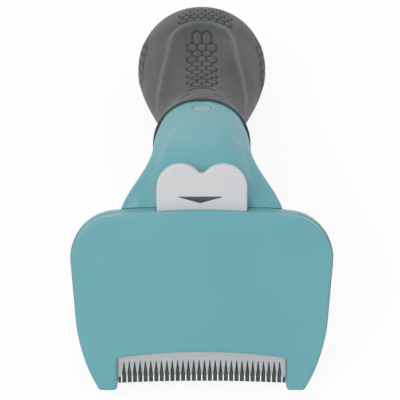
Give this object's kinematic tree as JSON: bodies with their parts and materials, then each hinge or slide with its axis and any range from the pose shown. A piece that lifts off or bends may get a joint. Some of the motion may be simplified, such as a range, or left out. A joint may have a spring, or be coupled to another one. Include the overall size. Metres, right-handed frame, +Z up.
{
  "type": "deshedding tool",
  "caption": "Handheld pet deshedding tool with a toothed stainless edge between skin guards, a push-button ejector plate and an angled rubber-covered handle.",
  "frame": {"origin": "centre of the tool's bounding box, on the table it lies on", "axes": "+Z up from the table; +Y from the head towards the handle's end; +X across the head, square to the tool's mirror plane"},
  "size_m": [0.0698, 0.145, 0.0536],
  "materials": {
    "teal_plastic": "satin",
    "grip_rubber": "matte",
    "button_plastic": "satin",
    "badge_plastic": "satin",
    "slider_plastic": "matte",
    "stainless_steel": "brushed",
    "fastener_steel": "satin",
    "spring_steel": "drawn wire"
  },
  "bodies": {
    "tool": {"head_front_cover": "teal_plastic", "rear_shell": "teal_plastic", "neck_top_shell": "teal_plastic", "grip_sleeve": "grip_rubber", "size_badge": "badge_plastic", "comb_blade": "stainless_steel", "blade_clamp_bar": "stainless_steel", "blade_screws": "fastener_steel", "head_screws": "fastener_steel", "neck_screws": "fastener_steel", "core_screws": "fastener_steel", "return_spring_left": "spring_steel", "return_spring_right": "spring_steel", "spring_pin_left": "fastener_steel", "spring_pin_right": "fastener_steel"},
    "ejector": {"ejector_button": "button_plastic", "ejector_slider": "slider_plastic", "ejector_plate": "stainless_steel", "ejector_rivets": "fastener_steel", "button_screws": "fastener_steel"}
  },
  "joints": [
    {"name": "ejector_slide", "type": "slide", "parent": "tool", "child": "ejector", "axis": [0, -0.5656, -0.8247], "range_m": [0, 0.0055], "stiffness_N_per_m": 600, "springref_m": -0.004, "deforming": ["return_spring_left", "return_spring_right"]}
  ]
}
